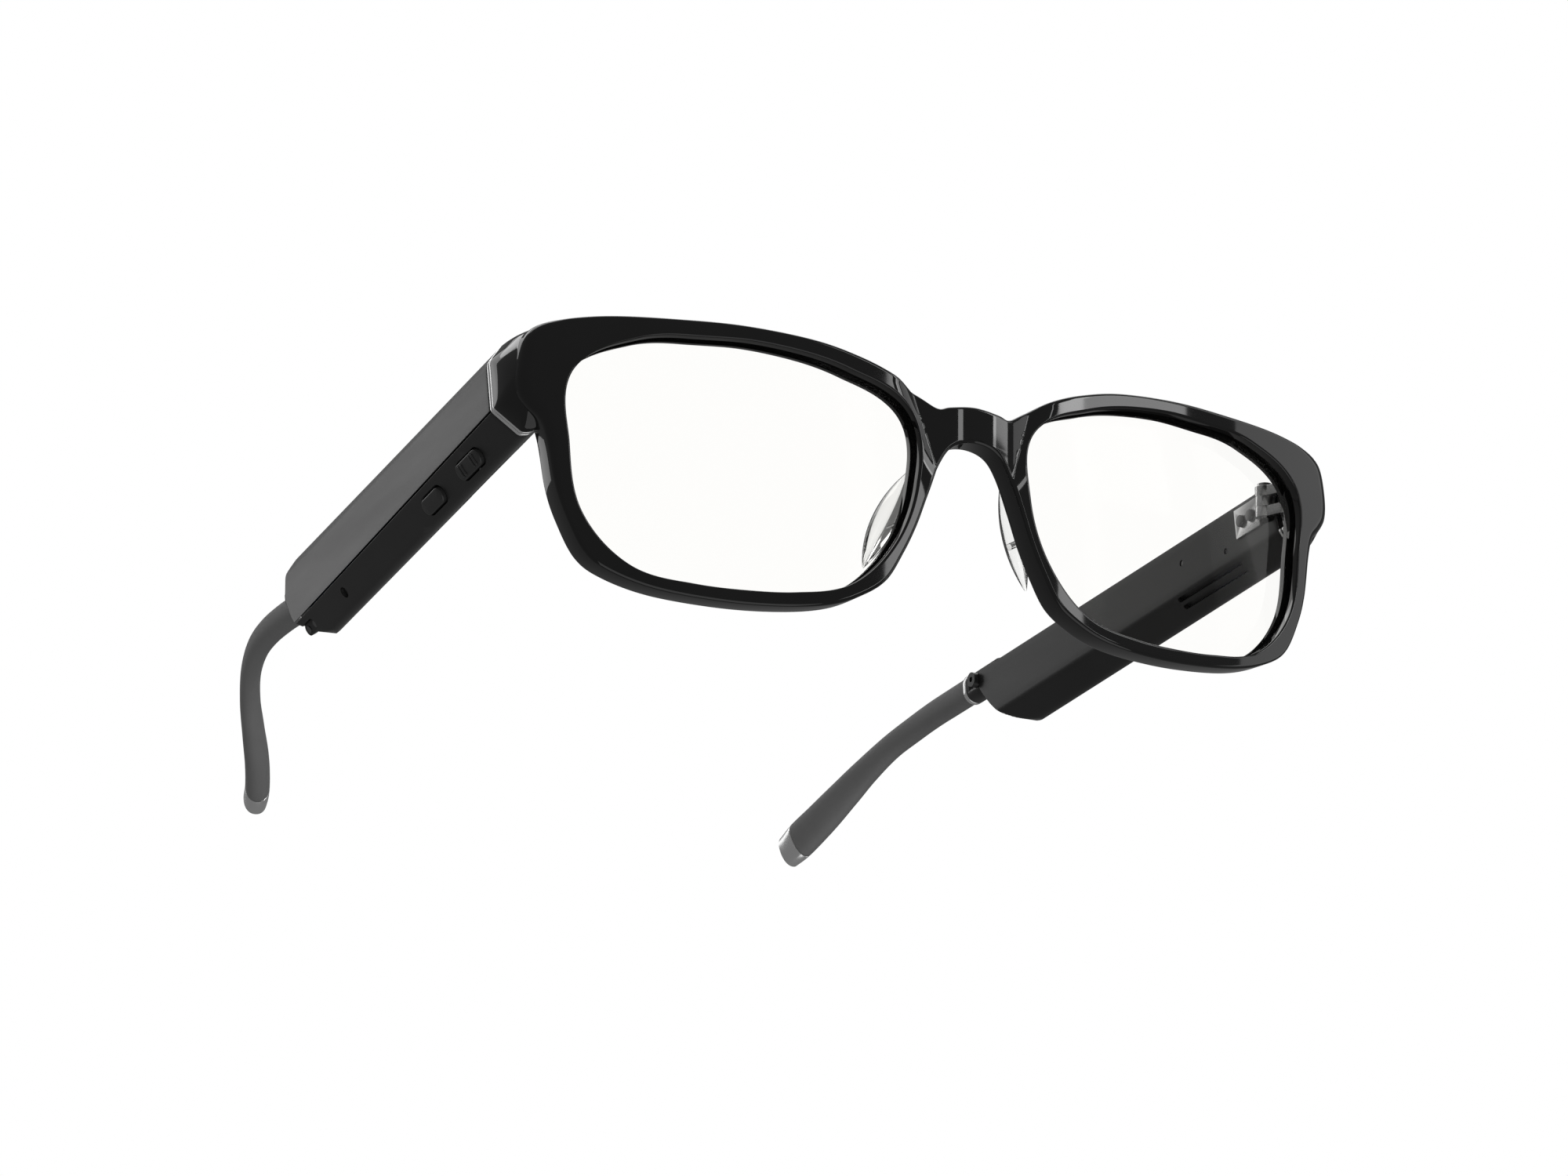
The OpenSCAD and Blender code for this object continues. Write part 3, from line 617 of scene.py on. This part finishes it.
def padParts():
    # A leaf: width and thickness shrink towards both ends, with a soft oval section
    s = np.sin(np.linspace(-np.pi / 2 * 0.985, np.pi / 2 * 0.985, 40))
    z = padLook["half"] * s
    wide = np.sqrt(padLook["wide"] ** 2 - z**2) - padLook["offset"]
    bulge = np.sqrt(padLook["ball"] ** 2 - z**2)
    front, back = padLook["frontCentre"] - bulge, padLook["backCentre"] + bulge
    a = np.linspace(0, 2 * np.pi, 40, endpoint=False)[None]
    power = 0.8
    cos, sin = np.cos(a), np.sin(a)
    x = wide[:, None] * np.sign(cos) * np.abs(cos) ** power
    y = (front + back)[:, None] / 2 + (back - front)[:, None] / 2 * 0.8 * np.sign(sin) * np.abs(sin) ** power
    p = np.stack([x, y, np.broadcast_to(z[:, None], x.shape)], -1)
    b, c = math.radians(padLook["turn"][1]), math.radians(padLook["turn"][2])
    turnZ = np.array([[math.cos(c), -math.sin(c), 0], [math.sin(c), math.cos(c), 0], [0, 0, 1]])
    return cappedTube(p @ turnX(padLook["turn"][0]).T @ turnY(b).T @ turnZ.T + padLook["place"])


for side, word in ((1, "left"), (-1, "right")):
    p, f = lensParts()
    newPiece(f"{word}_lens_polished", newMesh(f"{word}_lens", placed(p, side, False), f),
             finishes["lensClear"], "front", [f"{word}_lens"], 50)
    stud = cylinderParts(padLook["studAt"], (0, 1, 0), padLook["studRadius"], 0, padLook["studLength"], 32)
    p, f = joined([padParts(), stud])
    newPiece(f"{word}_nose_pad_clear", newMesh(f"{word}_pad", placed(p, side, False), f),
             finishes["padClear"], "front", [f"{word}_nose_pad"], 45)
print("lenses and nose pads made")


armLook = {"startGap": 0.6, "seamGap": 0.1, "edge": 0.28, "rings": 150, "end": 104.2}
undersideRise = catmull([(86, 2), (90, 2.4), (94, 3.4), (97.6, 5.3), (100.6, 8), (102.6, 10.4),
                         (103.8, 12), (104.2, 13.2)], 8, False)
topFall = catmull([(98, 20.4), (100.6, 19.8), (102.4, 19.3), (103.6, 18.4), (104.2, 17)], 8, False)


def armHalf(corners, radii, isCover):
    # A rounded section carried along the arm, its back end lifted to the curved side view, its front
    # end on the slanted joint; both end edges are drawn in a little
    t = np.linspace(0, 1, armLook["rings"])
    y = armStart + (armLook["end"] - armStart) * (1 - (1 - t) ** 1.6)
    section = armSection(y)
    along = section[:, 3] - section[:, 0]
    along /= np.linalg.norm(along, axis=1, keepdims=True)
    out = np.stack([along[:, 1], -along[:, 0]], -1)
    shift = armLook["seamGap"] * out * (1 if isCover else -1)
    chosen = section[:, corners].copy()
    chosen[:, corners.index(0)] += shift
    chosen[:, corners.index(3)] += shift
    ring = roundedSection(chosen, radii, 7, 5)
    x, z = ring[..., 0], ring[..., 1]
    low = np.interp(y, undersideRise[:, 0], undersideRise[:, 1], left=-9)[:, None]
    high = np.interp(y, topFall[:, 0], topFall[:, 1], left=30)[:, None]
    z = np.clip(z, low, high)
    slope = along[:, 1:2] / along[:, 0:1]
    base = section[:, 0] + shift
    seamX = base[:, 0:1] + (z - base[:, 1:2]) / slope
    x = np.maximum(x, seamX) if isCover else np.minimum(x, seamX)
    starts = jointDepth(x[0], z[0], armLook["startGap"])
    share = (y[:, None] - armStart) / (armLook["end"] - armStart)
    depth = starts[None] + share * (armLook["end"] - starts[None])
    rings = np.stack([x, depth, z], -1)
    edge = armLook["edge"]
    a = np.linspace(0, np.pi / 2, 5)[:, None, None]
    firstMiddle, lastMiddle = rings[0].mean(0), rings[-1].mean(0)

    def drawn(ring, middle, amount):
        arm = ring - middle
        size = np.linalg.norm(arm[:, [0, 2]], axis=1, keepdims=True)
        scale = 1 - amount / np.maximum(size, 1.2)
        return middle + arm * np.concatenate([scale, np.ones_like(scale), scale], 1)

    front = np.stack([drawn(rings[0], firstMiddle, edge * (1 - math.sin(v))) for v in a[:-1, 0, 0]])
    front[:, :, 1] = rings[0][:, 1] + edge * (1 - np.cos(a[:-1, :, 0]))
    back = np.stack([drawn(rings[-1], lastMiddle, edge * (1 - math.sin(v))) for v in a[-2::-1, 0, 0]])
    back[:, :, 1] = rings[-1][:, 1] - edge * (1 - np.cos(a[-2::-1, :, 0]))
    body = rings.copy()
    body[0, :, 1] += edge
    body[-1, :, 1] -= edge
    return cappedTube(np.concatenate([front, body, back]))


facetA, facetB = np.array([68.1, 6.9]), np.array([65.4, 3.0])
facetMiddle = (facetA + facetB) / 2
facetAngle = math.atan2(facetA[1] - facetB[1], facetA[0] - facetB[0])


def onFacet(points, y):
    # Local x across the under facet, local y along the arm, local z out of the facet
    return points @ turnY(math.pi - facetAngle).T + [facetMiddle[0], y, facetMiddle[1]]


def stadiumRing(length, halfWide, count=48):
    # A slot's outline: two half circles joined by straight sides
    a = np.linspace(0, 2 * np.pi, count, endpoint=False)
    return np.stack([halfWide * np.cos(a), (length / 2 - halfWide) * np.sign(np.sin(a) + 1e-9)
                     + halfWide * np.sin(a)], -1)


def stadiumParts(length, halfWide, levels):
    # levels is (inset, height): the outline drawn in by inset at each height
    rings = [np.concatenate([stadiumRing(length - 2 * inset, halfWide - inset), np.full((48, 1), height)], 1)
             for inset, height in levels]
    return cappedTube(np.stack(rings))


def slotCutter(row):
    # A speaker slot, its mouth opened by a small chamfer
    p, f = stadiumParts(18, 0.42, [(0, -1.5), (0, 0.02), (-0.16, 0.2), (-0.16, 3)])
    # the slots face the head and the ground
    return (p * [1, 1, -1]) @ turnY(math.radians(45)).T + [61 + row * 0.95, 31.5, 5.6 - row * 1.15], f


buttonPlaces = {"rocker": 27.0, "button": 41.0, "port": 79.5, "contacts": 96.0}
neck = {"centre": (63.2, 99.4, 14.1), "wide": 1.95, "tall": 2.75, "length": 9.6}
clampAt = (60, 105.2, 14.3)


def neckParts():
    # The oval neck that carries the ear tip, its end edge rounded
    ring = stadiumRing(2 * neck["tall"], neck["wide"])
    end = neck["length"]
    rows = [np.stack([ring[:, 0] * s, np.full(48, h), ring[:, 1] * s], -1)
            for h, s in ((0, 1), (end - 0.25, 1), (end - 0.07, 0.97), (end, 0.9))]
    return cappedTube(np.stack(rows) + neck["centre"])


for side, word in ((1, "left"), (-1, "right")):
    body = f"{word}_arm"
    p, f = armHalf([0, 1, 2, 3], [0.15, 0.75, 0.6, 0.15], True)
    coverMesh = newMesh(f"{word}_cover_satin", placed(p, side, True), f)
    newPiece(f"{word}_cover_satin", coverMesh, finishes["satinCover"], body, [f"{word}_cover"], 32)

    p, f = armHalf([3, 4, 5, 6, 0], [0.15, 0.7, 0.7, 0.5, 0.15], False)
    mesh = newMesh(f"{word}_housing_satin", placed(p, side, True), f)
    mesh = carved(mesh, newMesh("neck", placed(neckParts()[0], side, True), neckParts()[1]), "UNION")
    pocket = cylinderParts(hingeAt, (0, 0, 1), 1.85, -3.1, 3.1)
    cutters = [slotCutter(0), slotCutter(1),
               cylinderParts(clampAt, (1, 0, 0), 1.32, 0, 1.6),
               cylinderParts(clampAt, (1, 0, 0), 0.5, 0, 4.6),
               (level(pocket[0]), pocket[1])]  # the hinge stands upright with the front
    hole = stadiumParts(1.6, 0.8, [(0, -1.6), (0, -0.1), (-0.12, 0.1), (-0.12, 1)])
    cutters.append((onFacet(hole[0], buttonPlaces["port"]), hole[1]))
    if side > 0:
        cutters += [cylinderParts((60, 38, 11.6), (1, 0, 0), 0.5, 0, 2.2, 32),
                    cylinderParts((60, 25.6, 9), (1, 0, 0), 0.5, 0, 2.2, 32)]
    else:
        for length, key in ((8.6, "rocker"), (7.6, "button")):
            well = stadiumParts(length, 1.5, [(0, -2.6), (0, -0.12), (-0.12, 0.02), (-0.12, 2)])
            cutters.append((onFacet(well[0], buttonPlaces[key]), well[1]))
        well = stadiumParts(5.5, 1.05, [(0, -1.25), (0, 3)])
        cutters.append((onFacet(well[0], buttonPlaces["contacts"]), well[1]))
    for p, f in cutters:
        mesh = carved(mesh, newMesh("cut", placed(p, side, True), f))
    newPiece(f"{word}_housing_satin", mesh, finishes["satinHousing"], body,
             [f"{word}_housing"], 32)
print("covers and housings made")


plateCorners = np.array([(68.5, 7.6), (68.5, 15.4), (66.6, 18.2), (62.3, 15.85), (62.3, 7.4),
                         (60.9, 7.2), (60.9, 6.6), (64, 3.6), (65.2, 3.6)])


def plateParts(near, far):
    # A rounded section between two planes along the joint, with soft edges
    ring = roundedSection(plateCorners[None], [0.5, 0.6, 0.5, 0.2, 0.2, 0.2, 0.3, 0.4, 0.4], 5, 5)[0]
    middle = np.array([65, 10.5])
    edge = 0.14
    rows = []
    a = np.linspace(0, np.pi / 2, 5)
    for offset, inset in [*[(near + edge * (1 - math.cos(v)), edge * (1 - math.sin(v))) for v in a],
                          *[(far - edge * (1 - math.cos(v)), edge * (1 - math.sin(v))) for v in a[::-1]]]:
        arm = ring - middle
        q = middle + arm * (1 - inset / np.linalg.norm(arm, axis=1, keepdims=True))
        rows.append(np.stack([q[:, 0], jointDepth(q[:, 0], q[:, 1], offset), q[:, 1]], -1))
    rings = np.stack(rows)
    j = len(ring)
    points = rings.reshape(-1, 3)
    faces = gridFaces(len(rows), j).tolist()
    return points, [*faces, list(range(j))[::-1], list(range((len(rows) - 1) * j, len(rows) * j))]


for side, word in ((1, "left"), (-1, "right")):
    for near, far, body, node in ((-0.6, -0.14, "front", "front_plate"),
                                  (0.14, 0.6, f"{word}_arm", "arm_plate")):
        p, f = plateParts(near, far)
        newPiece(f"{word}_{node}_bright", newMesh(f"{word}_{node}", placed(p, side, True), f),
                 finishes["chrome"], body, [f"{word}_{node}"], 40)


tipPath = [(63.2, 110, 14.3), (63.9, 118, 14.8), (64.2, 126, 15), (63.9, 133, 14.5), (62.6, 140.5, 13),
           (60.6, 147, 10.1), (58.4, 152, 6.8), (55.9, 157.5, 3.1), (54, 163, 0.3), (53.2, 166.8, -1.1)]
tipHalf = [(1.9, 2.6), (1.9, 2.6), (1.85, 2.6), (1.8, 2.6), (1.75, 2.6),
           (1.8, 2.9), (1.95, 3.3), (2.15, 3.7), (2.2, 3.9), (2.1, 3.4)]
tipLook = {"steps": 15, "sides": 44, "shrink": 0.985, "capAt": 120}


def tipRings():
    # An oval carried along the tip's centreline, square to it
    c = catmull(tipPath, tipLook["steps"], False)
    h = catmull(tipHalf, tipLook["steps"], False) * tipLook["shrink"]
    d = np.gradient(c, axis=0)
    u = np.cross(d, [0, 0, 1])
    u /= np.linalg.norm(u, axis=1, keepdims=True)
    w = np.cross(u, d) / np.linalg.norm(d, axis=1, keepdims=True)
    a = np.linspace(0, 2 * np.pi, tipLook["sides"], endpoint=False)
    wide = np.sign(np.cos(a)) * np.abs(np.cos(a)) ** 0.9
    tall = np.sign(np.sin(a)) * np.abs(np.sin(a)) ** 0.9
    return (c[:, None] + h[:, None, 0:1] * wide[None, :, None] * u[:, None]
            + h[:, None, 1:2] * tall[None, :, None] * w[:, None])


def withSoftEnds(rings, first, last):
    # The end rings drawn in and pushed along, so that the end edges are round
    quarter = np.linspace(0, np.pi / 2, 5)[1:]

    def end(ring, beyond, amount):
        middle = ring.mean(0)
        step = middle - beyond.mean(0)
        step /= np.linalg.norm(step)
        return [middle + (ring - middle) * (1 - amount * (1 - math.cos(v)) / 2.2)
                + step * amount * (math.sin(v) - 1) for v in quarter]

    start = end(rings[0], rings[1], first)[::-1]
    return np.concatenate([np.stack(start), rings[1:-1], np.stack(end(rings[-1], rings[-2], last))])


for side, word in ((1, "left"), (-1, "right")):
    rings = tipRings()
    cap = tipLook["capAt"]
    p, f = cappedTube(withSoftEnds(rings[:cap + 1], 0.3, 0.12))
    newPiece(f"{word}_ear_tip_soft", newMesh(f"{word}_tip", placed(p, side, True), f),
             finishes["rubber"], f"{word}_arm", [f"{word}_ear_tip"], 50)
    p, f = cappedTube(withSoftEnds(rings[cap:], 0.1, 0.45))
    newPiece(f"{word}_tip_cap_bright", newMesh(f"{word}_cap", placed(p, side, True), f),
             finishes["chrome"], f"{word}_arm", [f"{word}_tip_cap"], 40)
print("tips and caps made")


def dome(length, halfWide, base, top, edge):
    # A slot-shaped button with a rounded top edge and a slight crown
    a = np.linspace(0, np.pi / 2, 6)
    levels = [(0, base)] + [(edge * (1 - math.cos(v)), top - edge * (1 - math.sin(v))) for v in a]
    levels += [(edge + (halfWide - edge) * s, top + 0.06 * s) for s in (0.3, 0.6, 0.85)]
    return stadiumParts(length, halfWide, levels)


rockerParts = [dome(8, 1.25, -2.1, 0.38, 0.22)]
for y in (-2.4, -1.6, 1.6, 2.4):
    ridge = stadiumParts(1.8, 0.2, [(0, 0.2), (0, 0.5), (0.05, 0.58), (0.13, 0.6)])
    rockerParts.append((ridge[0][:, [1, 0, 2]] + [0, y, 0], ridge[1]))
p, f = joined(rockerParts)
newPiece("volume_rocker_ridged", newMesh("rocker", placed(onFacet(p, buttonPlaces["rocker"]), -1, True), f),
         finishes["buttonPlastic"], "rocker", ["volume_rocker"], 40)
p, f = dome(7, 1.25, -2, 0.5, 0.25)
newPiece("action_button_smooth", newMesh("button", placed(onFacet(p, buttonPlaces["button"]), -1, True), f),
         finishes["buttonPlastic"], "button", ["action_button"], 40)


softened = {
    "front_leaf": ("front", "hinge_metal", "brushedSteel", 0.1),
    "hinge_pin": ("front", "hinge_metal", "brushedSteel", 0.08),
    "arm_leaf": ("arm", "hinge_metal", "brushedSteel", 0.1),
    "arm_screws": ("arm", "screw_steel", "darkSteel", 0.08),
    "tip_ring": ("arm", "bright_trim", "chrome", 0.12),
    "tip_screw": ("arm", "screw_steel", "darkSteel", 0.08),
    "washer": ("arm", "bright_trim", "chrome", 0.1),
}
for side, word in ((1, "left"), (-1, "right")):
    for node, (body, slot, finish, width) in softened.items():
        mesh = nodes[f"{word}_{node}"].data.copy()
        cleaned(mesh, 5e-7)
        mesh = withModifier(mesh, "BEVEL", width=width * 0.001, segments=3, limit_method="ANGLE",
                            angle_limit=math.radians(40), use_clamp_overlap=True)
        rides = body if body == "front" else f"{word}_arm"
        newPiece(f"{word}_{node}_eased", mesh, finishes[finish], rides, [f"{word}_{node}"], 35)

kept = {
    "gasket": "gasketRubber", "battery": "cellWrap", "board": "boardGreen", "speaker": "speakerCan",
    "grille": "fineMesh", "port_mesh": "fineMesh", "core_wire": "wireSteel",
    "status_light": "lightPipe", "wear_sensor": "sensorGlass", "rocker_pin": "wireSteel",
    "rocker_switches": "switchDome", "button_switch": "switchDome", "charging_contacts": "contactMetal",
    "contact_carrier": "carrierPlastic",
}
for name, thing in nodes.items():
    if thing.hide_render:
        continue
    key = name.split("_", 1)[1] if name.split("_", 1)[0] in ("left", "right") else name
    thing.data.materials.clear()
    thing.data.materials.append(finishes[kept[key]])
print("carried-over nodes finished")


def aimed(thing, place, target):
    thing.location = place
    thing.rotation_euler = (Vector(target) - Vector(place)).to_track_quat("-Z", "Y").to_euler()


softboxes = {  # name: direction (azimuth, height) in degrees, size in degrees, brightness
    "slimBox": (23.8, 16, 3.4, 34, 4.0),
    "slimBoxTwo": (37.3, 16, 2.1, 34, 4.0),
    "wideBox": (42.0, 25, 11.2, 20, 4.0),
    "sideBox": (66, 14, 26, 60, 1.1),
    "backBox": (-158, 30, 20, 46, 1.1),
    "lowBox": (0, -65, 60, 60, 0.7),
    "fillBox": (-20, 10, 70, 50, 1.0),
    "topBox": (170, 62, 70, 40, 1.6),
}
far = 10.0
for name, (turn, height, wide, tall, strength) in softboxes.items():
    a, b = math.radians(turn), math.radians(height)
    place = Vector((math.sin(a) * math.cos(b), -math.cos(a) * math.cos(b), math.sin(b))) * far
    light = bpy.data.lights.new(name, "AREA")
    light.shape = "RECTANGLE"
    light.size = 2 * far * math.tan(math.radians(wide / 2))
    light.size_y = 2 * far * math.tan(math.radians(tall / 2))
    light.energy = strength * math.pi * light.size * light.size_y
    lamp = bpy.data.objects.new(name, light)
    bpy.context.scene.collection.objects.link(lamp)
    aimed(lamp, place, (0, 0, 0.02))
    lamp.visible_camera = False
    lamp.visible_transmission = False
    lamp.visible_glossy = name != "fillBox"  # lightens dull surfaces only

world = bpy.data.worlds.new("studio")
bpy.context.scene.world = world
world.use_nodes = True
world.node_tree.nodes.clear()
air = Wire(world.node_tree, None)
glow = air.node("ShaderNodeBackground", None, {"Color": shade(0.17), "Strength": 1.0})
air.node("ShaderNodeOutputWorld", None, {"Surface": glow})


def stagePiece(name, points, faces, tone):
    # Shines evenly to the camera, and neither lights nor shadows the object
    mesh = newMesh(name, np.array(points, float), faces)
    thing = bpy.data.objects.new(name, mesh)
    bpy.context.scene.collection.objects.link(thing)
    material, place = startMaterial(name)
    shader = place.node("ShaderNodeEmission", None, {"Color": shade(tone), "Strength": 1.0})
    place.node("ShaderNodeOutputMaterial", None, {"Surface": shader})
    mesh.materials.append(material)
    mesh.polygons.foreach_set("use_smooth", np.ones(len(mesh.polygons), bool))
    for ray in ("visible_diffuse", "visible_glossy", "visible_shadow", "visible_volume_scatter"):
        setattr(thing, ray, False)


# A pale dome all round, and a pale floor well below
around = np.linspace(0, 2 * np.pi, 64, endpoint=False)[None, :, None]
upward = np.linspace(-np.pi / 2 + 0.02, np.pi / 2 - 0.02, 32)[:, None, None]
shell = 16 * np.concatenate([np.cos(upward) * np.cos(around), np.cos(upward) * np.sin(around),
                             np.sin(upward) * np.ones_like(around)], 2)
stagePiece("backdrop", *cappedTube(shell), 1.0)
circle = np.concatenate([np.cos(around[0]), np.sin(around[0])], 1)
disc = np.stack([circle] * 2) * np.array([4, 3.98])[:, None, None]
disc = np.concatenate([disc, np.broadcast_to(np.array([-0.4, -0.402])[:, None, None], (2, 64, 1))], 2)
stagePiece("floor", *cappedTube(disc), 0.97)

cameraLook = {"place": (-0.22123, -0.46308, -0.12195), "forward": (0.430496, 0.858006, 0.280178),
              "up": (-0.124359, -0.251071, 0.959947), "lens": 74.013}
camera = bpy.data.cameras.new("camera")
camera.lens = cameraLook["lens"]
camera.sensor_width = 36
camera.clip_start, camera.clip_end = 0.01, 100
eye = bpy.data.objects.new("camera", camera)
bpy.context.scene.collection.objects.link(eye)
back = -Vector(cameraLook["forward"]).normalized()
upDir = Vector(cameraLook["up"]).normalized()
rightDir = upDir.cross(back)
eye.matrix_world = Matrix((
    (rightDir.x, upDir.x, back.x, cameraLook["place"][0]),
    (rightDir.y, upDir.y, back.y, cameraLook["place"][1]),
    (rightDir.z, upDir.z, back.z, cameraLook["place"][2]),
    (0, 0, 0, 1)))
bpy.context.scene.camera = eye
bpy.context.scene.view_settings.view_transform = "Standard"
print("stage, light and camera set")
